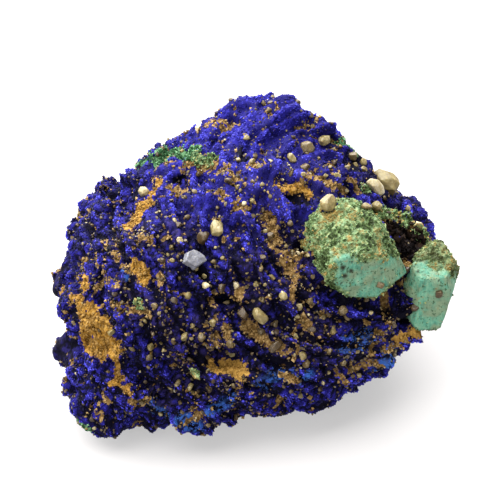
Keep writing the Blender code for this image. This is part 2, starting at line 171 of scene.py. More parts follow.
# ---- what the photograph shows where: for each kind its marks, each a reach and then x and y of its pixels
MARKS = {
    "golden": (  # porous matrix: the left hollow, the band down from the crest, the shelf, the pocket
        (1.0, 74, 296, 79, 310, 83, 328, 85, 346), (1.5, 90, 314, 97, 332, 98, 350),
        (1.0, 106, 338, 111, 352), (0.8, 64, 292, 62, 310, 65, 327), (0.6, 80, 264, 82, 276, 84, 288),
        (0.5, 115, 355, 117, 370, 119, 382), (0.5, 111, 384, 122, 379), (0.7, 125, 389, 128, 393),
        (0.9, 156, 182, 150, 192), (1.0, 143, 203, 135, 213, 129, 222), (0.6, 134, 262, 141, 270, 143, 281),
        (1.1, 217, 369, 228, 368, 240, 370), (0.6, 281, 186, 296, 188, 311, 190),
        (0.8, 401, 340, 411, 334, 422, 330),
    ),
    "pale_and_lit": (  # its palest stretches: a paler ochre, and painted light where the shelf faces up
        (1.3, 214, 370, 228, 368, 242, 371), (0.8, 402, 338, 412, 334), (0.6, 378, 211, 390, 214, 399, 217),
    ),
    "ochre": (  # bare matrix: the left, the crest, the sand valley, the lower right, by the dark oxide
        (0.6, 131, 402, 138, 409, 144, 406), (0.5, 104, 399, 107, 403), (0.4, 69, 366, 72, 360),
        (0.45, 93, 254, 93, 266), (0.45, 102, 279, 108, 281), (0.35, 114, 284, 118, 288),
        (0.35, 113, 250, 116, 256), (0.35, 102, 239, 105, 243), (0.45, 156, 273, 160, 282),
        (0.5, 141, 233, 150, 240), (0.4, 121, 262, 126, 270), (0.6, 188, 162, 201, 168, 215, 160),
        (0.5, 214, 172, 222, 168), (0.6, 216, 190, 224, 196), (0.6, 232, 172, 243, 180),
        (0.7, 238, 202, 247, 208), (0.6, 266, 214, 272, 226, 277, 238), (0.5, 318, 178, 332, 184, 346, 190),
        (0.5, 352, 181, 360, 190), (0.6, 271, 243, 284, 251, 297, 256), (0.6, 285, 262, 297, 276, 293, 298),
        (0.6, 240, 289, 237, 303), (0.7, 246, 326, 262, 336, 281, 351), (0.5, 301, 318, 311, 330),
        (0.5, 350, 371, 364, 366, 380, 363), (0.5, 388, 350, 400, 345), (0.45, 385, 297, 387, 313, 392, 329),
        (0.4, 338, 374, 347, 385), (0.5, 284, 376, 296, 382), (0.5, 186, 250, 196, 270),
        (0.5, 225, 325, 232, 345), (0.6, 380, 216, 387, 220), (0.5, 402, 219, 413, 226, 421, 234),
        (0.5, 414, 256, 418, 262), (0.35, 406, 254, 410, 262),
    ),
    "sand": (  # sandy stretches
        (2.6, 262, 212, 278, 236, 292, 262, 300, 285), (2.6, 130, 295, 150, 315, 175, 322),
        (3.0, 205, 330, 215, 352, 190, 362), (2.4, 250, 270, 245, 300, 262, 330, 285, 352),
        (2.4, 300, 310, 318, 330, 312, 352), (2.2, 160, 395, 200, 385, 250, 372),
        (2.2, 120, 235, 150, 232, 185, 232), (2.0, 330, 370, 360, 352, 380, 345),
        (2.0, 225, 178, 262, 185, 300, 178, 340, 182), (1.6, 404, 250, 412, 256, 418, 266),
    ),
    "green": (  # crumbly malachite: the rim behind the crystals, and spots on the crust
        (0.6, 196, 158, 206, 160, 214, 154), (0.4, 366, 182, 368, 189), (0.8, 376, 209, 389, 211, 400, 214),
        (1.2, 405, 217, 415, 223, 425, 231, 432, 238), (0.9, 427, 234, 437, 240, 447, 250, 453, 262),
        (0.5, 430, 248, 434, 256), (0.5, 322, 280, 326, 285), (0.35, 136, 300, 139, 303),
        (0.35, 193, 371, 196, 374),
    ),
    "teal": (  # darker malachite: the crest, the top right and the foot at the left
        (0.9, 143, 161, 156, 156, 168, 152, 182, 149, 196, 147), (0.7, 178, 154, 190, 153, 200, 156),
        (0.5, 188, 127, 196, 120, 204, 122), (0.6, 340, 143, 347, 150, 351, 157), (0.6, 82, 416, 92, 423),
    ),
    "sky": (  # sky-blue azurite
        (0.7, 148, 402, 160, 415, 170, 426), (0.8, 180, 418, 198, 424), (0.8, 208, 412, 222, 406, 232, 396),
        (1.1, 262, 384, 272, 380, 284, 374), (1.1, 346, 348, 356, 342, 368, 338),
        (1.0, 376, 366, 386, 358, 394, 350), (0.5, 300, 380, 312, 374), (0.4, 122, 268, 128, 276),
    ),
    "oxide": (  # dark oxide between the malachite crystals
        (1.1, 395, 232, 402, 230, 408, 238), (1.0, 412, 235, 419, 241, 421, 246),
        (0.9, 396, 243, 404, 243, 410, 249),
    ),
    "hole": (  # deep holes, with painted shade in them
        (1.2, 391, 312, 398, 318, 404, 308), (0.7, 408, 318, 412, 324), (0.3, 330, 296, 340, 303, 352, 306),
        (0.8, 224, 300, 238, 304, 250, 308), (0.7, 252, 352, 268, 362, 288, 366), (0.8, 242, 148, 246, 156),
        (0.7, 157, 337, 161, 346), (0.6, 96, 234, 100, 238), (0.6, 174, 178, 180, 176),
        (0.8, 294, 196, 310, 200), (0.7, 188, 266, 204, 272), (0.6, 213, 300, 207, 318),
    ),
    "smooth": (  # knobs with a smooth violet skin
        (2.0, 56, 268, 56, 284), (2.0, 56, 346, 64, 352),
    ),
    "dip": (  # the crust is lower: beside the malachite crystals, and where its outline dips
        (1.1, 306, 214, 299, 226, 297, 238, 302, 250, 309, 262),
        (1.9, 405, 270, 402, 284, 401, 298, 410, 314), (1.5, 310, 238, 313, 248, 317, 258),
        (1.4, 179, 137, 185, 134), (1.6, 57, 262, 53, 270), (2.4, 98, 180, 104, 181, 109, 182),
        (0.9, 342, 136, 345, 142), (1.2, 76, 212, 74, 220), (1.9, 394, 205, 404, 207, 414, 213, 424, 221),
        (2.0, 403, 196, 409, 199, 415, 203), (2.0, 230, 427, 236, 428, 241, 425),
        (2.4, 146, 428, 152, 429, 157, 428), (1.3, 316, 114, 322, 122),
        (1.6, 348, 398, 356, 394, 366, 388, 392, 368),
    ),
    "swell": (  # it is higher, where its outline swells
        (0.7, 408, 222, 418, 229), (1.2, 275, 103, 283, 104, 290, 106), (1.2, 69, 226, 66, 238, 66, 248),
        (1.2, 176, 424, 186, 424), (1.2, 202, 426, 214, 424), (0.6, 414, 340, 418, 334),
        (0.9, 119, 184, 125, 180), (0.5, 160, 150, 164, 147), (1.6, 74, 322, 74, 332),
        (2.1, 210, 127, 216, 121, 226, 114, 236, 107), (1.3, 292, 112, 304, 119, 326, 126),
        (2.2, 349, 155, 356, 162, 363, 169, 369, 175), (1.6, 190, 134, 200, 126, 210, 118),
        (1.1, 62, 291, 60, 286), (1.2, 217, 379, 229, 378, 241, 380), (1.6, 80, 234, 80, 246),
        (1.4, 68, 296, 67, 312, 70, 330), (1.8, 80, 410, 90, 420, 106, 428),
        (1.6, 280, 404, 296, 404, 312, 402), (1.3, 326, 397, 336, 394), (1.4, 372, 372, 384, 366),
    ),
}
MARK_PACE = 3  # pixels between the points that a mark is cast through
MARK_PEAK = 1.5  # a mark's weight on its line, from which it falls by 1 a reach
MARK_RANGE = 1.7  # reaches of distance at which it is surely none
MARK_RAGGED = ((0.50, 0.9, 31), (0.75, 2.0, 32))
MARK_SPAN = (0.35, 0.75)  # weights over which a ragged mark sets in
EVEN_MARKS = ("dip", "swell", "smooth")
NEAR_MARKS = ("pale_and_lit", "green", "teal", "sky", "oxide")  # marks that noise doesn't spread past their range
NEAR_SPAN = (0, 0.2)
MARK_DEPTHS = {"hole": 0.9, "golden": 0.35, "ochre": 0.2}
SWELL_HEIGHT, DIP_DEPTH = 1.05, 1.1
HOLE_SHADE = 0.5  # height by which a hole counts as lower in the blue's tone, which paints it darker as shade
# how much a hole adds to the creases, and so to their painted shade
HOLE_CREASE = 0.7

SHOWN_GRAINS = (  # larger sand grains: x, y and size in pixels, tint from 0, brown, to 1, cream
    (352, 156, 10, 0.60), (380, 284, 8, 0.50), (438, 293, 9, 0.35), (415, 308, 9, 0.20),
    (291, 159, 10, 0.80), (305, 168, 12, 0.55), (303, 174, 6, 0.85), (199, 129, 8, 0.90),
    (246, 137, 8, 0.75), (268, 110, 6, 0.55), (204, 237, 12, 0.30), (180, 240, 8, 0.85), (172, 261, 7, 0.75),
    (92, 190, 13, 0.65), (75, 212, 8, 0.50), (180, 152, 9, 0.80), (228, 182, 9, 0.35), (252, 200, 7, 0.80),
    (238, 187, 6, 0.70), (283, 295, 10, 0.80), (235, 286, 9, 0.95), (371, 313, 5, 0.90), (366, 299, 8, 0.45),
    (373, 298, 6, 0.60), (220, 288, 12, 0.25), (242, 313, 13, 0.25), (226, 303, 8, 0.55),
    (188, 296, 8, 0.70), (174, 302, 9, 0.30), (121, 302, 8, 0.45), (155, 306, 8, 0.60), (150, 347, 9, 0.80),
    (164, 351, 6, 0.75), (112, 333, 7, 0.75), (186, 337, 10, 0.75), (203, 337, 8, 0.55),
    (190, 361, 10, 0.35), (149, 357, 8, 0.50), (232, 354, 8, 0.80), (190, 387, 9, 0.80), (178, 383, 7, 0.65),
    (209, 388, 8, 0.35), (213, 323, 7, 0.75), (192, 326, 6, 0.70), (141, 324, 6, 0.60), (125, 289, 6, 0.45),
    (196, 268, 6, 0.80), (205, 276, 6, 0.80), (172, 248, 6, 0.70), (214, 262, 6, 0.55), (260, 268, 7, 0.60),
    (272, 276, 7, 0.75), (298, 306, 8, 0.70), (310, 300, 7, 0.60), (322, 318, 7, 0.65), (333, 330, 8, 0.70),
    (316, 344, 7, 0.60), (302, 356, 8, 0.75), (330, 352, 7, 0.55), (296, 336, 7, 0.80), (342, 362, 7, 0.60),
    (358, 376, 6, 0.70), (262, 300, 6, 0.60), (256, 284, 6, 0.75), (345, 168, 8, 0.70), (337, 176, 7, 0.80),
    (325, 176, 6, 0.75), (356, 166, 7, 0.65), (363, 163, 9, 0.80), (364, 170, 7, 0.65), (318, 160, 6, 0.60),
    (270, 162, 6, 0.75), (252, 162, 7, 0.75), (259, 166, 6, 0.70), (238, 160, 6, 0.80), (226, 203, 6, 0.70),
    (366, 208, 11, 0.64), (408, 208, 7, 0.70), (418, 225, 8, 0.85), (405, 342, 6, 0.65),
)
SHOWN_TINT = 0.88  # their tints are toned down by this
SHOWN_SEED = 300
SHOWN_DETAIL = 3
SHOWN_LIFT = 0.15  # share of its half size that a grain's middle stands above the surface
SHOWN_STRETCH = (0.8, 1.3)
SHOWN_TILT = 0.6
SHOWN_UNEVEN = 0.015

# ---- crystals, grains and crumbs. Half sizes in millimetres, lifts as a share of the half size.
AZURITE_COUNT = 23000  # crystals in each of two pieces
AZURITE_SEED = 100
AZURITE_HALF = ((0.065, 0.11), (0.08, 0.14), (0.12, 0.24))  # thickness, width and length
AZURITE_SPREAD = 0.22
AZURITE_UNEVEN = 0.22
AZURITE_FLOW = 0.85  # how far a crystal leans along the growth shells
AZURITE_UPRIGHT = 0.35
AZURITE_TILT = 0.65  # how far it leans by chance
AZURITE_LIFT = 0.05
AZURITE_BARE = {"ochre": 1, "golden": 1, "green": 0.85, "teal": 0.85, "oxide": 1, "hole": 0.5, "smooth": 1}
AZURITE_EDGE = 1.4  # how sharply it gives way to them
AZURITE_THIN = {"crease": 0.75, "sand": 0.50}
AZURITE_SUNK = 0.8
ISLANDS = ((1.0, 1.3, 61),)  # azurite left standing on ochre matrix
ISLAND_SHARE = 1.3
BARE_LEAST = 0.05

TONE = 0.47
TONE_NOISE = ((0.24, 0.35, 41), (0.24, 1.5, 42))
TONE_SPREAD = 0.13
# crystals high up are painted lighter, as painted light on the crown; in holes darker, as painted shade; in
# sandy stretches a little darker
TONE_SHIFTS = {"high": 0.21, "sand": -0.05, "hole": -0.4}
TONE_LOW = 0.25
TONE_LEVEL = 0.45  # the relief at which it leaves the tone as it is
# how much darker the crystals in a crease are painted: painted shade
TONE_CREASE = 0.5
TONE_FLAT = 0.5  # how much the relief's painted light and shade count for less high up
SKY_SPREAD = (0.3, 1.2)

SAND = {  # count, half sizes, seed, detail of the shape
    "sand_grit": (2700, (0.08, 0.15), 201, 1),
    "sand_fine": (2200, (0.14, 0.24), 202, 1),
    "sand_coarse": (330, (0.25, 0.38), 203, 2),
}
SAND_LIKES = {"crease": 1.4, "sand": 1.4, "ochre": 0.7}
SAND_LEAST = 0.09
SAND_SHUNS = {"smooth": 0.9, "hole": 0.7, "golden": 0.6}
SAND_SUNK = 0.6
SAND_PATCHES = ((1.0, 0.7, 205),)
SAND_PATCH_SPAN = (-0.1, 0.45)
SAND_BETWEEN = 0.20  # its share between the patches
SAND_WAYS = (0.15, (0.65, 1.35), 0.2, 0.15, 3)  # spread of sizes, stretch, lift, unevenness, chips
SAND_TINT = (0.36, 0.20)  # mean and spread
SAND_PALEST = 0.85

CRUMBS = {  # kinds and their shares, count, half sizes, seed, slot, tone and its spread, own colours
    "ochre_crumbs": (
        {"ochre": 1, "golden": 1, "sand": 0.03}, 9500, (0.09, 0.20), 401, "ochre_sand", 0.60, 0.32,
        OCHRE_TONES,
    ),
    "green_crumbs": ({"green": 1}, 1500, (0.10, 0.22), 402, "malachite", 0.60, 0.40, ()),
    "teal_crumbs": ({"teal": 1}, 900, (0.09, 0.20), 404, "malachite", 0.50, 0.30, TEAL_TONES),
    "oxide_crumbs": ({"oxide": 1}, 420, (0.18, 0.40), 403, "ochre_sand", 0.55, 0.25, OXIDE_TONES),
}
CRYSTAL_CRUMB_KINDS = {"crumbly": 1, "smooth": 0.01}
CRYSTAL_CRUMB_TONE = (0.50, 0.35)
LEAST_WANTED = 0.02  # a face wanted less than this carries no crumb
LEAST_CHANCE = 1e-30
CRUMB_WAYS = (0.25, (0.65, 1.3), 0.45, 0.35, 0)
CRUMB_FIELDS = ("rust", "shade", "pale_and_lit", "golden")  # fields of the ground that a crumb's colour follows

CHIP = (0.45, 0.85)  # how far from a grain's middle a chipped side lies, as a share of its size

# ---- malachite. Millimetres; noise as (share, cycles per millimetre, seed past the crystal's own).
# Crumbs are count, half sizes and seed. Faces are azimuth, elevation and distance from the centre. Smooth is
# the pixels round the mint face. Stains and rust are reach and pixel.
CRYSTALS = {
    "malachite_crystal_front": {
        "seed": 60,
        "crumbs": (4600, (0.06, 0.14), 410),
        "centre": (12.1, -9.2, 22.1),
        "grown": 0.0,
        # how much painted shade darkens the crumbly top
        "shade": 0.12,
        "faces": (
            (10, 0, 5.2), (-10, 52, 5.6), (-52, 14, 5.8), (58, 16, 5.4), (90, 0, 6.6), (106, 24, 4.7),
            (-68, -28, 4.6), (-49, -41, 4.8), (0, -54, 5.5), (54, -38, 6.2),
        ),
        "smooth": (
            (328, 264), (331, 254), (351, 252), (362, 256), (371, 260), (384, 260), (394, 256), (404, 252),
            (412, 276), (396, 286), (380, 298), (350, 298), (336, 286),
        ),
        "stains": (
            (0.5, 343, 268), (0.45, 345, 276), (0.4, 351, 271), (0.2, 333, 275), (0.2, 350, 283),
            (0.25, 341, 283), (0.15, 365, 288), (0.3, 325, 268), (0.25, 369, 250), (0.2, 352, 262),
        ),
        "rust": (
            (1.5, 331, 215), (1.3, 302, 242), (1.2, 311, 262), (0.9, 378, 238), (1.0, 320, 280),
            (0.8, 347, 205), (0.7, 388, 258), (0.8, 338, 290), (0.7, 362, 295), (0.9, 350, 240),
            (0.8, 318, 224), (0.7, 362, 222), (0.7, 334, 250),
        ),
    },
    "malachite_crystal_side": {
        "seed": 70,
        "crumbs": (1900, (0.06, 0.14), 411),
        "centre": (22.1, -6.8, 14.6),
        "grown": 0.7,
        # the side crystal's crumbly top takes much more painted shade
        "shade": 0.50,
        "faces": (
            (8, 8, 4.2), (4, 56, 5.6), (64, 10, 3.6), (-50, 10, 4.5), (90, 0, 3.0), (78, -14, 2.45),
            (0, -54, 4.9), (45, -44, 4.5), (-68, -28, 4.4), (109, 24, 3.8), (135, 44, 5.5), (-130, 42, 4.7),
            (-105, 20, 3.6), (-90, 0, 3.6), (0, 90, 6.8), (0, -90, 5.6), (180, -10, 4.6),
        ),
        "smooth": ((402, 262), (424, 262), (448, 268), (462, 280), (462, 335), (400, 335)),
        "stains": (
            (0.3, 407, 304), (0.2, 420, 317), (0.2, 418, 271), (0.15, 424, 292), (0.15, 439, 281),
        ),
        "rust": (
            (1.2, 442, 248), (1.2, 450, 264), (0.9, 424, 254), (0.8, 431, 243), (0.6, 436, 268),
        ),
    },
}
MALACHITE_VOXEL = 0.18 * MM
MALACHITE_STEPS = 3
MINT_EDGE = ((9, 0.5, 0), (5, 1.6, 0))  # pixels by which the mint face's edge wanders
MINT_SPAN = (-3, 5)  # pixels over which the face turns crumbly
LOBES = (1.2, 0.26, 0.3)  # cycles per millimetre, height, distance from a lobe's middle at which it has none
LOBE_NOISE = ((0.36, 0.6, 1), (0.20, 1.9, 2))
LOBE_LOW = 0.05
FIBRE_STRETCH = (1, 1, 0.5)
FIBRE_NOISE = ((0.06, 2.0, 3),)
FACE_NOISE = ((0.14, 0.5, 4),)
SPOT_NOISE = ((0.25, 1.8, 5),)
SPOT_SPAN = (0.35, 1.1)  # reaches of distance over which a stain fades
PAINTED_SHADE_NOISE = ((0.8, 0.9, 6),)
OUTSIDE = -0.1 * MM  # least height over the crust that counts as outside it

# ---- the quartz grains that are solids, with a tint for each
GRAIN_TINTS = {
    # the flake's tint past 1 gives it the darkened grey that paints shade on it
    "quartz_pebble_back": 0.64, "quartz_pebble_white": 0.82, "quartz_flake": 1.1, "quartz_grain_crown": 0.50,
    "quartz_grain_top": 0.72, "quartz_grain_by_malachite": 0.64, "quartz_grain_on_rim": 0.60,
    "quartz_grain_beside_rim": 0.68, "quartz_grain_left": 0.74, "quartz_grain_centre": 0.72,
    "quartz_grain_front": 0.66, "quartz_grain_right": 0.42, "quartz_grain_low": 0.22,
}
FLAKE = "quartz_flake"
FLAKE_SHRUNK = 0.92
GRAIN_SEED = 80
GRAIN_VOXEL = 0.09 * MM
GRAIN_CHIPS = 7
GRAIN_CHIP = (0.82, 0.94)  # where a chipped side lies between the grain's middle and its end
GRAIN_UNEVEN, FLAKE_UNEVEN = 0.05, 0.16
GRAIN_CYCLES = 1.2
GRAIN_FINE = (0.02, 4.0)
QUARTZ_CLEAR = 0.4  # how much of the light goes into a quartz grain
CLEAR_RADIUS = (1.0, 0.8, 0.5)  # how far red, green and blue go in it, as shares of the depth
CLEAR_DEPTH = 0.5 * MM


def rng_of(seed):
    return np.random.default_rng(seed)


def dressed(obj, material, slot, *nodes):
    """Finishes a piece: its material, its body and the CAD nodes that it stands for. Its slot is not used."""
    obj.data.materials.clear()
    obj.data.materials.append(material)
    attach(obj, "root")
    if nodes:
        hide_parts(*nodes)
    return obj


# ---- the camera's view


def sight(x, y):
    """Direction from the camera through a pixel of the photograph."""
    across = (x / PHOTO - 0.5) * SENSOR / LENS
    upward = (0.5 - y / PHOTO) * SENSOR / LENS
    return (RIGHT * across + UP * upward - BACK).normalized()


def pixels_of(points):
    """Where points in metres show in the photograph, as (n, 2) pixels."""
    offset = points - np.array(EYE)
    scale = -PHOTO * LENS / SENSOR / (offset @ np.array(BACK))
    across, upward = offset @ np.array(RIGHT), offset @ np.array(UP)
    return np.stack((PHOTO / 2 + across * scale, PHOTO / 2 - upward * scale), 1)


def add_camera():
    data = bpy.data.cameras.new("camera")
    data.lens, data.sensor_width = LENS, SENSOR
    data.clip_start, data.clip_end = CLIP
    camera = bpy.data.objects.new("camera", data)
    bpy.context.scene.collection.objects.link(camera)
    camera.location = EYE
    camera.rotation_euler = (-BACK).to_track_quat("-Z", "Y").to_euler()
    bpy.context.scene.camera = camera


# ---- mesh tools


def object_of(name, mesh):
    obj = bpy.data.objects.new(name, mesh)
    bpy.context.scene.collection.objects.link(obj)
    return obj


def mesh_of(name, points, triangles, smooth=False):
    mesh = bpy.data.meshes.new(name)
    corners = np.ascontiguousarray(triangles, np.int32)
    mesh.vertices.add(len(points))
    move_to(mesh, points)
    mesh.loops.add(corners.size)
    mesh.loops.foreach_set("vertex_index", corners.ravel())
    mesh.polygons.add(len(corners))
    mesh.polygons.foreach_set("loop_start", np.arange(0, corners.size, 3, dtype=np.int32))
    mesh.update(calc_edges=True)
    mesh.shade_smooth() if smooth else mesh.shade_flat()
    return object_of(name, mesh)


def vectors(mesh, kind):
    found = np.empty(len(mesh.vertices) * 3, np.float32)
    mesh.vertices.foreach_get(kind, found)
    return found.reshape(-1, 3).astype(float)


def places(mesh):
    return vectors(mesh, "co")


def normals(mesh):
    return vectors(mesh, "normal")


def move_to(mesh, points):
    mesh.vertices.foreach_set("co", np.ascontiguousarray(points, np.float32).ravel())
    mesh.update()


def eased(mesh, share, steps):
    """Each point moves by share of the way to the middle of its neighbours, that many times."""
    ends = np.empty(len(mesh.edges) * 2, np.int32)
    mesh.edges.foreach_get("vertices", ends)
    first, second = ends.reshape(-1, 2).T
    points = places(mesh)
    count = len(points)
    neighbours = np.bincount(ends, minlength=count)[:, None]
    for _ in range(steps):
        total = np.stack([
            np.bincount(first, values[second], count) + np.bincount(second, values[first], count)
            for values in points.T
        ], 1)
        points += share * (total / neighbours - points)
    move_to(mesh, points)


def keep(mesh, name, values):
    """Stores a value for each point; where each value is for one copy of a shape, all its points get it."""
    attribute = mesh.attributes.new(name, "FLOAT", "POINT")
    spread = np.repeat(values, len(mesh.vertices) // len(values))
    attribute.data.foreach_set("value", np.ascontiguousarray(spread, np.float32))


def joined(name, nodes):
    """CAD nodes as one mesh, each grown by its length in metres, with corners that share a place joined."""
    whole = bpy.data.meshes.new(name)
    collected = bmesh.new()
    for node, grown in sorted(nodes.items()):
        part = bmesh.new()
        part.from_mesh(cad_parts[node].data)
        bmesh.ops.remove_doubles(part, verts=part.verts, dist=SAME_PLACE)
        part.normal_update()
        for vert in part.verts:
            vert.co += vert.normal * grown
        part.to_mesh(whole)
        collected.from_mesh(whole)
        part.free()
    collected.to_mesh(whole)
    collected.free()
    return whole


def remeshed(name, nodes, voxel, steps):
    """CAD nodes as one even closed skin at that voxel, smoothed."""
    obj = object_of(name, joined(name, nodes))
    remesh = obj.modifiers.new("skin", "REMESH")
    remesh.mode, remesh.voxel_size = "VOXEL", voxel
    smooth = obj.modifiers.new("melt", "SMOOTH")
    smooth.factor, smooth.iterations = 0.5, steps
    shown = bpy.data.meshes.new_from_object(obj.evaluated_get(bpy.context.evaluated_depsgraph_get()))
    obj.modifiers.clear()
    obj.data = shown
    obj.data.name = name
    obj.data.shade_smooth()
    return obj


def triangles_of(mesh):
    mesh.calc_loop_triangles()
    corners = np.empty(len(mesh.loop_triangles) * 3, np.int32)
    mesh.loop_triangles.foreach_get("vertices", corners)
    return corners.reshape(-1, 3)


def tree_of(*meshes):
    """One tree for ray casts and nearest points on several meshes."""
    points, corners, count = [], [], 0
    for mesh in meshes:
        points.append(places(mesh))
        corners.append(triangles_of(mesh) + count)
        count += len(mesh.vertices)
    return BVHTree.FromPolygons(np.concatenate(points).tolist(), np.concatenate(corners).tolist())


def node_tree(*names):
    return tree_of(*(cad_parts[name].data for name in names))


# ---- fields over points


def smoothstep(low, high, values):
    share = np.clip((values - low) / (high - low), 0, 1)
    return share * share * (3 - 2 * share)


def at_least(least, share):
    """share, from 0 to 1, squeezed into what lies between least and 1."""
    return least + (1 - least) * share


def wave(points, cycles, seed):
    """Smooth noise from -1 to 1; points in millimetres."""
    moved = points * cycles + seed * WAVE_STEP
    return np.array([noise.noise(place) for place in moved.tolist()])


def waves(points, parts, seed=0):
    return sum(share * wave(points, cycles, seed + more) for share, cycles, more in parts)


def cells(points, cycles, seed):
    """Nearest and second nearest distance in a field of cells."""
    moved = points * cycles + seed * CELL_STEP
    return np.array([noise.voronoi(place)[0][:2] for place in moved.tolist()]).T


def shell_space(points):
    """Points stretched away from the shells' centre, so that cells lie along the shells."""
    offset = points - SHELL_CENTRE
    reach = np.linalg.norm(offset, axis=1, keepdims=True)
    stretch, start, least = SHELL_STRETCH
    return offset / reach * np.maximum(reach * stretch - start, least)


def ledges(points):
    """Height of the growth ledges, which rise slowly and break off, and how near each point is to a break."""
    reach = np.linalg.norm(points - SHELL_CENTRE, axis=1)
    height, crease = np.zeros(len(points)), np.zeros(len(points))
    for pitch, tall, seed in LEDGES:
        phase = (reach / pitch + waves(points / pitch, LEDGE_WANDER, seed)) % 1
        patches = waves(points / pitch, LEDGE_PATCHES, seed)
        strength = at_least(LEDGE_LEAST, smoothstep(*LEDGE_FADE, patches))
        rise = smoothstep(0, LEDGE_RISE, phase) * (1 - smoothstep(LEDGE_RISE, 1, phase))
        height += tall * strength * (rise - 0.5)
        gap = 1 - smoothstep(*LEDGE_GAP, np.minimum(phase, 1 - phase))
        crease = np.maximum(crease, strength * gap * math.sqrt(tall / LEDGES[0][1]))
    return height, crease


def lumps(points):
    """Height of the botryoidal lumps, and how deep each point lies in a crease between them."""
    along = shell_space(points)
    height, crease = np.zeros(len(points)), np.zeros(len(points))
    for cycles, deep, width, dome, seed in LUMPS:
        first, second = cells(along, cycles, seed)
        split = 1 - smoothstep(0, width, second - first)
        height += deep * (dome * (CELL_RIM - first) - split)
        crease = np.maximum(crease, split * math.sqrt(deep / LUMPS[0][1]))
    return height, crease


def casts(tree, line):
    """Points in metres where a line of pixels meets the surface."""
    found = []
    pixels = np.array(line, float).reshape(-1, 2)
    for start, end in zip(pixels[:-1], pixels[1:]):
        steps = max(1, round(float(np.linalg.norm(end - start)) / MARK_PACE))
        for step in range(steps + 1):
            hit = tree.ray_cast(EYE, sight(*(start + (end - start) * step / steps)))[0]
            if hit is not None:
                found.append(hit)
    return found


def marked(points, tree):
    """Weight of each kind of mark over points in metres."""
    weights = {kind: np.zeros(len(points)) for kind in MARKS}
    lookup = kdtree.KDTree(len(points))
    for number, point in enumerate(points.tolist()):
        lookup.insert(point, number)
    lookup.balance()
    for kind, marks in MARKS.items():
        for reach, *line in marks:
            for place in casts(tree, line):
                for _, number, distance in lookup.find_range(place, reach * MARK_RANGE * MM):
                    weight = MARK_PEAK - distance / (reach * MM)
                    weights[kind][number] = max(weights[kind][number], weight)
    return weights


def mark_fields(points, tree):
    """How much of each kind of mark there is at each point, from 0 to 1."""
    ragged = waves(points / MM, MARK_RAGGED)
    field = {}
    for kind, weight in marked(points, tree).items():
        if kind in EVEN_MARKS:
            field[kind] = smoothstep(0, 1, weight)
        else:
            field[kind] = smoothstep(*MARK_SPAN, weight + ragged)
        if kind in NEAR_MARKS:
            field[kind] *= smoothstep(*NEAR_SPAN, weight)
    return field


# ---- the crust


def sunk_round(points, stones):
    """How much of each point lies at a set-in stone, from 0 to 1."""
    near, far = SUNK_REACH
    distance = np.array([stones.find_nearest(point, far * 2)[3] or far for point in points.tolist()])
    return 1 - smoothstep(near, far, distance)


def threads_on(rest, crease, facing):
    """Threads of ochre in the creases, with more of them on the sides that the photograph doesn't show."""
    unseen = 1 - smoothstep(*UNSEEN, facing @ np.array(BACK))
    level = waves(rest, THREAD_NOISE) + THREAD_CREASE * crease + UNSEEN_THREADS * unseen
    return THREAD_MOST * smoothstep(*THREAD_SPAN, level)


def kept_in_crystals(points, moved):
    """The crust's moved points, with those by a malachite crystal moved back until its faces hide them."""
    for name, form in CRYSTALS.items():
        near = sunk_round(points, node_tree(name))[:, None]
        faces = [(azimuth, elevation, reach - CRYSTAL_CLEAR) for azimuth, elevation, reach in form["faces"]]
        moved += near * (cut_flat(moved / MM, np.array(form["centre"]), faces) * MM - moved)
    return moved


def build_crust():
    stones = {name: SOCKET_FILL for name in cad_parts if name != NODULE}
    crust = remeshed("azurite_crust", {NODULE: 0, **stones}, SKIN_VOXEL, SKIN_STEPS)
    mesh = crust.data
    points, facing = places(mesh), normals(mesh)
    rest = points / MM
    field = mark_fields(points, tree_of(mesh))
    sunk = sunk_round(points, node_tree(*stones))

    height, crease = lumps(rest)
    rise, broken = ledges(rest)
    height += rise
    crease = np.maximum(crease, broken)
    earthy = np.maximum(field["ochre"], field["golden"])
    height *= 1 - EARTHY_FLAT * earthy
    crease *= 1 - EARTHY_WHOLE * earthy
    height += waves(rest, ROUGHNESS)
    height -= PITS * earthy * smoothstep(*PIT_SPAN, waves(rest, PIT_NOISE))
    threads = threads_on(rest, crease, facing) * (1 - field["smooth"])
    field["ochre"] = np.maximum(field["ochre"], threads)

    # relief: a tone from the height, for painted light on the crests and painted shade in the hollows and
    # holes
    field["relief"] = np.clip(0.5 + (height - HOLE_SHADE * field["hole"]) / RELIEF, 0, 1)
    height -= sum(depth * field[kind] for kind, depth in MARK_DEPTHS.items())
    height *= (1 - SMOOTH_FLAT * field["smooth"]) * at_least(FOOT_RELIEF, smoothstep(*FOOT, rest[:, 2]))
    height = (height + SWELL_HEIGHT * field["swell"] - DIP_DEPTH * field["dip"]) * (1 - sunk)
    moved = kept_in_crystals(points, points + facing * (height * MM - SUNK * sunk)[:, None])
    moved[:, 2] = np.maximum(moved[:, 2], FLOOR_CLEAR)
    move_to(mesh, moved)
    eased(mesh, *SKIN_EASE)
    field["crease"] = np.clip(crease + HOLE_CREASE * field["hole"], 0, 1)
    field["sunk"] = sunk
    field["high"] = smoothstep(*HIGH, rest[:, 2])
    field["ochre"] *= 1 - field["golden"]
    for kind, values in field.items():
        keep(mesh, kind, values)
    return crust, field


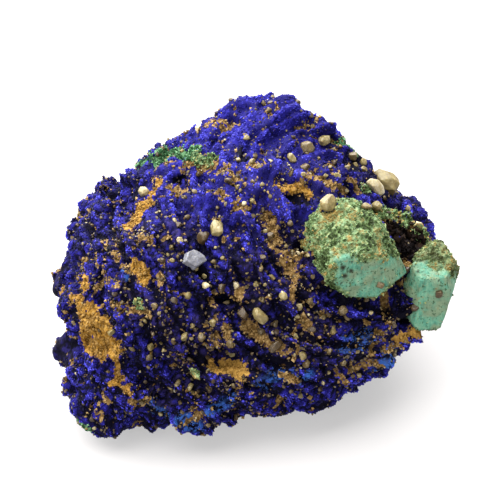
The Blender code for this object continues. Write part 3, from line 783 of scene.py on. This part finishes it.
class Ground:
    """A mesh's faces as places to set things on."""

    def __init__(self, mesh, field):
        corners = triangles_of(mesh)
        self.corner = places(mesh)[corners]
        across = np.cross(self.corner[:, 1] - self.corner[:, 0], self.corner[:, 2] - self.corner[:, 0])
        self.area = np.linalg.norm(across, axis=1) / 2
        self.normal = normals(mesh)[corners].mean(1)
        self.normal /= np.linalg.norm(self.normal, axis=1, keepdims=True)
        self.field = {kind: values[corners].mean(1) for kind, values in field.items()}
        self.middle = self.corner.mean(1)

    def drawn(self, rng, wanted, count):
        """Different faces, drawn with chance in step with their area times wanted."""
        chance = np.maximum(self.area * wanted, LEAST_CHANCE)
        turn = rng.exponential(size=len(chance)) / chance
        return np.sort(np.argpartition(turn, count)[:count])

    def spots(self, rng, faces):
        """A random place on each face."""
        along, aside = rng.random((len(faces), 1)), rng.random((len(faces), 1))
        over = along + aside > 1
        along[over], aside[over] = 1 - along[over], 1 - aside[over]
        first, second, third = self.corner[faces].transpose(1, 0, 2)
        return first + (second - first) * along + (third - first) * aside


# ---- many small solids in one mesh


def octahedron():
    points = np.array(((1, 0, 0), (-1, 0, 0), (0, 1, 0), (0, -1, 0), (0, 0, 1), (0, 0, -1)), float)
    faces = [(a, b, 4) for a, b in ((0, 2), (2, 1), (1, 3), (3, 0))]
    return points, np.array(faces + [(b, a, 5) for a, b, _ in faces])


def pebble(detail):
    ball = bmesh.new()
    bmesh.ops.create_icosphere(ball, subdivisions=detail, radius=1)
    points = np.array([vert.co[:] for vert in ball.verts])
    faces = np.array([[vert.index for vert in face.verts] for face in ball.faces])
    ball.free()
    return points, faces


def turned(rng, axes, lean):
    """Frames whose third axis is each of axes, leaning by chance and turned by chance about itself."""
    count = len(axes)
    up = axes + lean * rng.uniform(-1, 1, (count, 3))
    up /= np.linalg.norm(up, axis=1, keepdims=True)
    side = np.cross(up, rng.normal(size=(count, 3)))
    side /= np.linalg.norm(side, axis=1, keepdims=True)
    return np.stack((side, np.cross(up, side), up), 1)


def many(name, shape, centres, frames, halves, rng, uneven, smooth=False, chips=0):
    """One mesh of many copies of shape, each a little uneven, with a patch of the bake map for each."""
    points, faces = shape
    count = len(centres)
    local = points[None] * (1 + uneven * rng.uniform(-1, 1, (count, len(points), 1)))
    for _ in range(chips):  # each chip flattens one side of a copy
        side = rng.normal(size=(count, 1, 3))
        side /= np.linalg.norm(side, axis=2, keepdims=True)
        over = (local * side).sum(2, keepdims=True) - rng.uniform(*CHIP, (count, 1, 1))
        local = local - side * np.maximum(over, 0)
    local = local * halves[:, None, :]
    world = centres[:, None, :] + np.einsum("nkj,nji->nki", local, frames)
    world[..., 2] = np.maximum(world[..., 2], FLOOR_CLEAR)
    corners = faces[None] + (np.arange(count) * len(points))[:, None, None]
    obj = mesh_of(name, world.reshape(-1, 3), corners.reshape(-1, 3), smooth)
    add_bake_map(obj.data, points, faces, count)
    return obj


def add_bake_map(mesh, points, faces, count):
    """Each copy has its own small square of the map."""
    columns = math.ceil(math.sqrt(count))
    number = np.arange(count)
    origin = np.stack((number % columns, number // columns), 1) / columns
    flat = (points[:, (0, 2)] + points[:, (1, 1)] * BAKE_LEAN) * BAKE_SIZE + 0.5
    spots = origin[:, None, :] + flat[faces.ravel()][None] / columns
    layer = mesh.uv_layers.new(name=BAKE_MAP)
    layer.uv.foreach_set("vector", np.ascontiguousarray(spots, np.float32).ravel())


# ---- materials. Cycles are per millimetre, depths of bumps in millimetres.


class Nodes:
    """Short ways to build a material's nodes."""

    def __init__(self, name):
        self.material = bpy.data.materials.new(name)
        self.material.use_nodes = True
        self.tree = self.material.node_tree
        self.shader = self.tree.nodes["Principled BSDF"]
        self.place = self.tree.nodes.new("ShaderNodeTexCoord").outputs["Object"]

    def add(self, kind, **values):
        node = self.tree.nodes.new(kind)
        for name, value in values.items():
            setattr(node, name, value)
        return node

    def link(self, source, target):
        self.tree.links.new(source, target)

    def field(self, name):
        return self.add("ShaderNodeAttribute", attribute_name=name).outputs["Fac"]

    def speckle(self, cycles, detail=3, rough=0.6, place=None):
        node = self.add("ShaderNodeTexNoise")
        for name, value in (("Scale", cycles / MM), ("Detail", detail), ("Roughness", rough)):
            node.inputs[name].default_value = value
        self.link(self.place if place is None else place, node.inputs["Vector"])
        return node.outputs["Fac"]

    def mosaic(self, cycles):
        """A value of its own for each cell."""
        node = self.add("ShaderNodeTexVoronoi")
        node.inputs["Scale"].default_value = cycles / MM
        self.link(self.place, node.inputs["Vector"])
        parted = self.add("ShaderNodeSeparateColor")
        self.link(node.outputs["Color"], parted.inputs[0])
        return parted.outputs[0]

    def math(self, operation, first, second):
        node = self.add("ShaderNodeMath", operation=operation)
        for socket, value in zip(node.inputs, (first, second)):
            if isinstance(value, (int, float)):
                socket.default_value = value
            else:
                self.link(value, socket)
        return node.outputs[0]

    def swayed(self, value, by, most):
        """value, raised or lowered where by is over or under a half."""
        return self.math("ADD", value, self.math("MULTIPLY", self.math("SUBTRACT", by, 0.5), most))

    def ramp(self, value, stops):
        node = self.add("ShaderNodeValToRGB")
        while len(node.color_ramp.elements) < len(stops):
            node.color_ramp.elements.new(0.5)
        for element, (place, colour) in zip(node.color_ramp.elements, stops):
            element.position = place
            element.color = (*colour, 1)
        self.link(value, node.inputs[0])
        return node.outputs[0]

    def tones(self, value, places, colours):
        return self.ramp(value, tuple(zip(places, colours)))

    def span(self, value, low=0.0, high=1.0, start=0.0, end=1.0):
        node = self.add("ShaderNodeMapRange", interpolation_type="SMOOTHSTEP")
        for name, number in (("From Min", low), ("From Max", high), ("To Min", start), ("To Max", end)):
            node.inputs[name].default_value = number
        self.link(value, node.inputs["Value"])
        return node.outputs["Result"]

    def mix(self, share, first, second):
        node = self.add("ShaderNodeMix", data_type="RGBA")
        self.link(share, node.inputs["Factor"])
        for socket, value in ((node.inputs[6], first), (node.inputs[7], second)):
            if isinstance(value, tuple):
                socket.default_value = (*value, 1)
            else:
                self.link(value, socket)
        return node.outputs[2]

    def tinted(self, colour, kind, most, second):
        """colour, with at most that much of second where the field of that kind is 1."""
        return self.mix(self.span(self.field(kind), end=most), colour, second)

    def bump(self, cycles, depth, detail=3, strength=1.0):
        node = self.add("ShaderNodeBump")
        node.inputs["Distance"].default_value = depth * MM
        node.inputs["Strength"].default_value = strength
        self.link(self.speckle(cycles, detail), node.inputs["Height"])
        self.link(node.outputs["Normal"], self.shader.inputs["Normal"])

    def finish(self, colour, cycles, dull, duller, gloss=None):
        """Roughness varies from dull to duller; gloss, where given, is the shader's specular level."""
        self.link(colour, self.shader.inputs["Base Color"])
        roughness = self.span(self.speckle(cycles), *NOISE_SPAN, dull, duller)
        self.link(roughness, self.shader.inputs["Roughness"])
        if gloss is not None:
            self.shader.inputs["Specular IOR Level"].default_value = gloss
        return self.material


def crust_material():
    look = Nodes("azurite_crust")
    blue = look.ramp(look.speckle(1.6), CRUST_BLUES)
    blue = look.mix(look.field("sky"), blue, SKY_BLUE)
    blue = look.mix(look.field("smooth"), blue, VIOLET)
    blue = look.mix(look.span(look.field("sand"), 0.2, 1.0, 0.0, 0.5), blue, DIRT)
    # painted shade: the creases go near black
    blue = look.mix(look.span(look.field("crease"), 0.2, 0.9), blue, PAINTED_SHADE_BLUE)
    # painted light: the blue grows paler on the crown
    blue = look.tinted(blue, "high", 0.35, CROWN_LIGHT_BLUE)
    patchy = look.swayed(look.field("ochre"), look.speckle(1.1), 2.2)
    ochre = look.tones(look.speckle(2.2), CRUST_STOPS, OCHRE_TONES)
    colour = look.mix(look.span(patchy, 0.40, 0.62), blue, ochre)
    # paler gold where marked: partly the ochre's colour, partly painted light
    gold = look.tinted(look.ramp(look.speckle(1.7, 5), GOLDS), "pale_and_lit", 0.6, GOLD_PALE_AND_LIT)
    teal = look.tones(look.speckle(2.2), CRUST_STOPS, TEAL_TONES)
    layers = (  # kind, values of its field over which it sets in, paint
        ("golden", 0.3, 0.6, gold),
        ("green", 0.35, 0.65, verdigris(look)),
        ("teal", 0.35, 0.65, teal),
        # painted shade: the holes go near black
        ("hole", 0.3, 0.8, PAINTED_SHADE_BLUE),
        ("oxide", 0.3, 0.7, OXIDE),
    )
    for kind, low, high, paint in layers:
        colour = look.mix(look.span(look.field(kind), low, high), colour, paint)
    look.bump(3.5, 0.12, 4)
    return look.finish(colour, 2.0, 0.55, 0.85, 0.1)


def azurite_material():
    look = Nodes("azurite_crystals")
    blue = look.ramp(look.swayed(look.field("tone"), look.speckle(3.0), 0.35), CRYSTAL_BLUES)
    colour = look.mix(look.field("sky"), blue, SKY_BLUE)
    return look.finish(colour, 4.0, 0.30, 0.60, 0.14)


def sand_material(name, clear):
    look = Nodes(name)
    colour = look.ramp(look.swayed(look.field("tint"), look.speckle(1.4), 0.45), SANDS)
    look.bump(3.0, 0.05)
    if clear:
        look.shader.inputs["Subsurface Weight"].default_value = clear
        look.shader.inputs["Subsurface Radius"].default_value = CLEAR_RADIUS
        look.shader.inputs["Subsurface Scale"].default_value = CLEAR_DEPTH
    return look.finish(colour, 2.5, 0.28, 0.55)


def crumb_material(name, colours):
    look = Nodes(name)
    tone = look.swayed(look.field("tone"), look.speckle(2.4, 4), 1.1)
    colour = look.tones(tone, CRUMB_STOPS, colours)
    colour = look.tinted(colour, "golden", 0.5, GOLD_WARM)
    # paler gold where marked: partly the ochre's colour, partly painted light
    colour = look.tinted(colour, "pale_and_lit", 0.6, GOLD_PALE_AND_LIT)
    look.bump(5.0, 0.05)
    return look.finish(colour, 2.5, 0.65, 0.90, 0.1)


def verdigris(look, shift=None, rust=None):
    """Crumbly malachite: dark green gaps, green and pale mint crumbs, and patches of tan and gold."""
    value = look.math("ADD", look.math("MULTIPLY", look.mosaic(3.0), 0.50), 0.06)
    value = look.swayed(value, look.speckle(0.55), 1.7)
    if shift is not None:
        value = look.swayed(value, shift, 0.3)
    if rust is not None:
        kept = look.math("MULTIPLY", value, look.span(rust, start=1.0, end=0.45))
        value = look.math("ADD", kept, look.math("MULTIPLY", rust, 0.45))
    return look.ramp(value, VERDIGRIS)


def malachite_material():
    look = Nodes("malachite")
    fibre = look.add("ShaderNodeMapping")
    fibre.inputs["Scale"].default_value = (1.0, 1.0, 0.35)
    look.link(look.place, fibre.inputs["Vector"])
    smooth = look.ramp(look.speckle(1.5, 5, 0.65, fibre.outputs[0]), MINTS)
    for cycles, detail, low, high, most, paint in MINT_SPOTS:
        smooth = look.mix(look.span(look.speckle(cycles, detail), low, high, 0.0, most), smooth, paint)
    colour = look.mix(look.field("crumbly"), smooth, verdigris(look, None, look.field("rust")))
    # painted shade on the crumbly top
    colour = look.tinted(colour, "shade", 0.8, PAINTED_SHADE_GREEN)
    colour = look.mix(look.field("stain"), colour, STAIN)
    look.bump(2.2, 0.20, 5, 0.9)
    return look.finish(colour, 2.0, 0.42, 0.75, 0.25)


def green_crumb_material():
    look = Nodes("green_crumbs")
    colour = verdigris(look, look.field("tone"), look.field("rust"))
    # painted shade, as on the crystal under the crumbs
    colour = look.tinted(colour, "shade", 0.8, PAINTED_SHADE_GREEN)
    look.bump(5.0, 0.05)
    return look.finish(colour, 2.5, 0.60, 0.90, 0.15)


def floor_material():
    look = Nodes("floor")
    look.link(look.ramp(look.speckle(0.01), FLOORS), look.shader.inputs["Base Color"])
    look.shader.inputs["Roughness"].default_value = FLOOR_ROUGH
    look.shader.inputs["Emission Color"].default_value = (*WHITE, 1)
    look.shader.inputs["Emission Strength"].default_value = FLOOR_GLOW
    return look.material


# ---- pieces on the crust


def strewn(ground, rng, name, shape, faces, sizes, ways):
    """Copies of shape on those faces, with half sizes in that range."""
    spread, stretch, lift, uneven, chips = ways
    count = len(faces)
    size = rng.uniform(*sizes, (count, 1)) * rng.lognormal(0, spread, (count, 1)) * MM
    half = size * rng.uniform(*stretch, (count, 3))
    frames = turned(rng, ground.normal[faces], 1.0)
    centres = ground.spots(rng, faces) + ground.normal[faces] * half[:, 2:] * lift
    return many(name, shape, centres, frames, half, rng, uneven, chips=chips)


def build_azurite(ground, number, material):
    rng = rng_of(AZURITE_SEED + number)
    field = ground.field
    bare = np.maximum.reduce([share * field[kind] for kind, share in AZURITE_BARE.items()])
    islands = np.maximum(0, waves(ground.middle / MM, ISLANDS))
    bare -= ISLAND_SHARE * islands * (field["ochre"] > BARE_LEAST)
    wanted = np.clip(1 - AZURITE_EDGE * bare, 0, 1) * (field["sunk"] < AZURITE_SUNK)
    for kind, share in AZURITE_THIN.items():
        wanted *= 1 - share * field[kind]
    faces = ground.drawn(rng, wanted, AZURITE_COUNT)
    half = np.stack([rng.uniform(low, high, AZURITE_COUNT) for low, high in AZURITE_HALF], 1) * MM
    half *= rng.lognormal(0, AZURITE_SPREAD, (AZURITE_COUNT, 1))
    spots = ground.middle[faces] / MM
    flow = np.cross(ground.normal[faces], spots - SHELL_CENTRE)
    flow /= np.linalg.norm(flow, axis=1, keepdims=True)
    flow *= AZURITE_FLOW * rng.choice((-1, 1), (AZURITE_COUNT, 1))
    frames = turned(rng, ground.normal[faces] * AZURITE_UPRIGHT + flow, AZURITE_TILT)
    centres = ground.spots(rng, faces) + frames[:, 2] * half[:, 2:] * AZURITE_LIFT
    obj = many(f"azurite_crystals_{number}", octahedron(), centres, frames, half, rng, AZURITE_UNEVEN)
    field = {kind: values[faces] for kind, values in field.items()}
    tone = TONE + waves(spots, TONE_NOISE) + rng.normal(0, TONE_SPREAD, AZURITE_COUNT)
    tone += sum(shift * field[kind] for kind, shift in TONE_SHIFTS.items())
    # painted light on the crests, painted shade in the hollows and creases
    tone += (1 - TONE_FLAT * field["high"]) * (field["relief"] - TONE_LEVEL - TONE_CREASE * field["crease"])
    tone += TONE_LOW * (1 - smoothstep(*LOW, spots[:, 2]))
    keep(obj.data, "tone", tone)
    keep(obj.data, "sky", np.clip(field["sky"] * rng.uniform(*SKY_SPREAD, AZURITE_COUNT), 0, 1))
    return dressed(obj, material, "azurite")


def build_sand(ground, name, material):
    count, sizes, seed, detail = SAND[name]
    rng = rng_of(seed)
    field = ground.field
    wanted = SAND_LEAST + sum(share * field[kind] for kind, share in SAND_LIKES.items())
    for kind, share in SAND_SHUNS.items():
        wanted *= 1 - share * field[kind]
    wanted *= SAND_BETWEEN + smoothstep(*SAND_PATCH_SPAN, waves(ground.middle / MM, SAND_PATCHES))
    faces = ground.drawn(rng, wanted * (field["sunk"] < SAND_SUNK), count)
    obj = strewn(ground, rng, name, pebble(detail), faces, sizes, SAND_WAYS)
    keep(obj.data, "tint", np.clip(rng.normal(*SAND_TINT, count), 0, SAND_PALEST))
    return dressed(obj, material, "quartz")


def build_shown_grains(tree, material):
    """The sand grains that the photograph shows one by one, each where its pixel meets the surface."""
    rng = rng_of(SHOWN_SEED)
    seen = [(*tree.ray_cast(EYE, sight(x, y)), *facts) for x, y, *facts in SHOWN_GRAINS]
    hits = zip(*(hit for hit in seen if hit[0] is not None))
    place, normal, _, distance, pixels, tint = (np.array(values) for values in hits)
    half = (pixels / 2 * distance * SENSOR / LENS / PHOTO)[:, None]
    centres = place + normal * half * SHOWN_LIFT
    half = half * rng.uniform(*SHOWN_STRETCH, (len(half), 3))
    frames = turned(rng, normal, SHOWN_TILT)
    shape = pebble(SHOWN_DETAIL)
    obj = many("sand_shown", shape, centres, frames, half, rng, SHOWN_UNEVEN, smooth=True, chips=GRAIN_CHIPS)
    keep(obj.data, "tint", tint * SHOWN_TINT)
    return dressed(obj, material, "quartz")


def build_crumbs(ground, name, material, kinds, count, sizes, seed, slot, tone, spread):
    rng = rng_of(seed)
    wanted = sum(share * ground.field[kind] for kind, share in kinds.items()) * (1 - ground.field["sunk"])
    count = min(count, np.count_nonzero(wanted > LEAST_WANTED))
    faces = ground.drawn(rng, wanted, count)
    obj = strewn(ground, rng, name, octahedron(), faces, sizes, CRUMB_WAYS)
    keep(obj.data, "tone", np.clip(rng.normal(tone, spread, count), 0, 1))
    for kind in CRUMB_FIELDS:
        if kind in ground.field:
            keep(obj.data, kind, ground.field[kind][faces])
    return dressed(obj, material, slot)


# ---- malachite and quartz


def inside(polygon, pixels):
    """Pixels of distance to the polygon's edge, positive inside it."""
    corners = np.array(polygon, float)
    nearest = np.full(len(pixels), np.inf)
    within = np.zeros(len(pixels), bool)
    for start, end in zip(corners, np.roll(corners, -1, 0)):
        edge = end - start
        share = np.clip((pixels - start) @ edge / (edge @ edge), 0, 1)
        nearest = np.minimum(nearest, np.linalg.norm(pixels - start - share[:, None] * edge, axis=1))
        crosses = (start[1] > pixels[:, 1]) != (end[1] > pixels[:, 1])
        level = start[0] + (pixels[:, 1] - start[1]) * (edge[0] / edge[1] if edge[1] else 0)
        within ^= crosses & (pixels[:, 0] < level)
    return np.where(within, nearest, -nearest)


def cut_flat(points, centre, faces):
    """Points beyond a face are moved back onto it."""
    for azimuth, elevation, reach in faces:
        turn, rise = math.radians(azimuth), math.radians(elevation)
        out = np.array((math.cos(rise) * math.sin(turn), -math.cos(rise) * math.cos(turn), math.sin(rise)))
        over = (points - centre) @ out - reach
        points = points - out * np.maximum(over, 0)[:, None]
    return points


def spotted(points, marks, tree, ragged):
    """How much of each point is in one of the spots, from 0 to 1."""
    most = np.zeros(len(points))
    for reach, x, y in marks:
        place = tree.ray_cast(EYE, sight(x, y))[0]
        if place is not None:
            distance = np.linalg.norm(points - np.array(place), axis=1) / (reach * MM)
            most = np.maximum(most, 1 - smoothstep(*SPOT_SPAN, distance + ragged))
    return most


def build_malachite(node, material):
    """A malachite crystal, and the fields that its crumbs follow."""
    form = CRYSTALS[node]
    seed = form["seed"]
    obj = remeshed(node.replace("crystal_", ""), {node: 0}, MALACHITE_VOXEL, MALACHITE_STEPS)
    grown = places(obj.data) / MM + normals(obj.data) * form["grown"]
    rest = cut_flat(grown, np.array(form["centre"]), form["faces"])
    move_to(obj.data, rest * MM)
    points, facing = places(obj.data), normals(obj.data)
    depth = inside(form["smooth"], pixels_of(points)) + waves(rest, MINT_EDGE, seed)
    crumbly = 1 - smoothstep(*MINT_SPAN, depth)
    cycles, tall, rim = LOBES
    first, _ = cells(rest, cycles, seed)
    rough = tall * (rim - first) + waves(rest, LOBE_NOISE, seed) - LOBE_LOW
    fibres = waves(rest * FIBRE_STRETCH, FIBRE_NOISE, seed) + waves(rest, FACE_NOISE, seed)
    sunk = sunk_round(points, node_tree(*GRAIN_TINTS))
    height = (crumbly * rough + (1 - crumbly) * fibres) * (1 - sunk)
    move_to(obj.data, points + facing * height[:, None] * MM)
    tree, ragged = tree_of(obj.data), waves(rest, SPOT_NOISE, seed)
    fields = {
        "crumbly": crumbly,
        "stain": spotted(points, form["stains"], tree, ragged),
        "rust": spotted(points, form["rust"], tree, ragged),
        # painted shade over the crumbly part, strongest on the side crystal
        "shade": np.clip(form["shade"] * crumbly * (1 + waves(rest, PAINTED_SHADE_NOISE, seed)), 0, 1),
    }
    for kind, values in fields.items():
        keep(obj.data, kind, values)
    fields["smooth"] = 1 - crumbly
    return dressed(obj, material, "malachite", node), fields


def outside(points, tree):
    """1 for each point that lies outside the surface, 0 inside it."""
    found = []
    for point in points.tolist():
        place, normal, _, _ = tree.find_nearest(point)
        found.append(float((Vector(point) - place).dot(normal) > OUTSIDE))
    return np.array(found)


def chipped(points, rng):
    """points, with some sides of the grain cut flat."""
    middle = points.mean(0)
    for _ in range(GRAIN_CHIPS):
        side = rng.normal(size=3)
        side /= np.linalg.norm(side)
        reach = (points - middle) @ side
        points = points - side * np.maximum(reach - reach.max() * rng.uniform(*GRAIN_CHIP), 0)[:, None]
    return points


def build_grain(node, seed, material, tint):
    obj = remeshed(node + "_shown", {node: 0}, GRAIN_VOXEL, 1)
    points, facing = places(obj.data), normals(obj.data)
    if node == FLAKE:
        middle = points.mean(0)
        points, uneven = middle + (points - middle) * FLAKE_SHRUNK, FLAKE_UNEVEN
    else:
        points, uneven = chipped(points, rng_of(seed)), GRAIN_UNEVEN
    height = waves(points / MM, ((uneven, GRAIN_CYCLES, seed), (*GRAIN_FINE, seed)))
    move_to(obj.data, points + facing * height[:, None] * MM)
    keep(obj.data, "tint", np.full(len(points), tint))
    return dressed(obj, material, "quartz", node)


# ---- light and floor


def add_floor():
    ground = bmesh.new()
    bmesh.ops.create_grid(ground, x_segments=FLOOR_SQUARES, y_segments=FLOOR_SQUARES, size=FLOOR_HALF)
    mesh = bpy.data.meshes.new("floor")
    ground.to_mesh(mesh)
    ground.free()
    mesh.materials.append(floor_material())
    object_of("floor", mesh)


def add_light(name, place, power, size):
    data = bpy.data.lights.new(name, "AREA")
    data.energy, data.size = power, size
    light = bpy.data.objects.new(name, data)
    bpy.context.scene.collection.objects.link(light)
    light.location = place
    light.rotation_euler = (AIM - Vector(place)).to_track_quat("-Z", "Y").to_euler()


def add_light_rig():
    world = bpy.data.worlds.new("studio")
    world.use_nodes = True
    background = world.node_tree.nodes["Background"]
    background.inputs["Color"].default_value = (*WHITE, 1)
    background.inputs["Strength"].default_value = WORLD
    for name, facts in LIGHTS.items():
        add_light(name, *facts)
    scene = bpy.context.scene
    scene.world = world
    scene.view_settings.view_transform = "Standard"
    scene.view_settings.look = "Medium High Contrast"


def build_all():
    add_camera()
    add_light_rig()
    add_floor()
    crust, field = build_crust()
    dressed(crust, crust_material(), "azurite", NODULE)
    ground = Ground(crust.data, field)
    blue = azurite_material()
    for number in (1, 2):
        build_azurite(ground, number, blue)
    sand = sand_material("sand", 0)
    for name in SAND:
        build_sand(ground, name, sand)
    green = malachite_material()
    green_crumbs = green_crumb_material()
    crust_tree, stones = tree_of(crust.data), []
    for node, form in CRYSTALS.items():
        stone, shown = build_malachite(node, green)
        shown["sunk"] = 1 - outside(places(stone.data), crust_tree)
        facts = (CRYSTAL_CRUMB_KINDS, *form["crumbs"], "malachite", *CRYSTAL_CRUMB_TONE)
        build_crumbs(Ground(stone.data, shown), stone.name + "_crumbs", green_crumbs, *facts)
        stones.append(stone.data)
    quartz = sand_material("quartz", QUARTZ_CLEAR)
    for number, (node, tint) in enumerate(sorted(GRAIN_TINTS.items())):
        build_grain(node, GRAIN_SEED + number, quartz, tint)
    build_shown_grains(tree_of(crust.data, *stones), quartz)
    for name, (*facts, colours) in CRUMBS.items():
        build_crumbs(ground, name, crumb_material(name, colours) if colours else green_crumbs, *facts)


build_all()
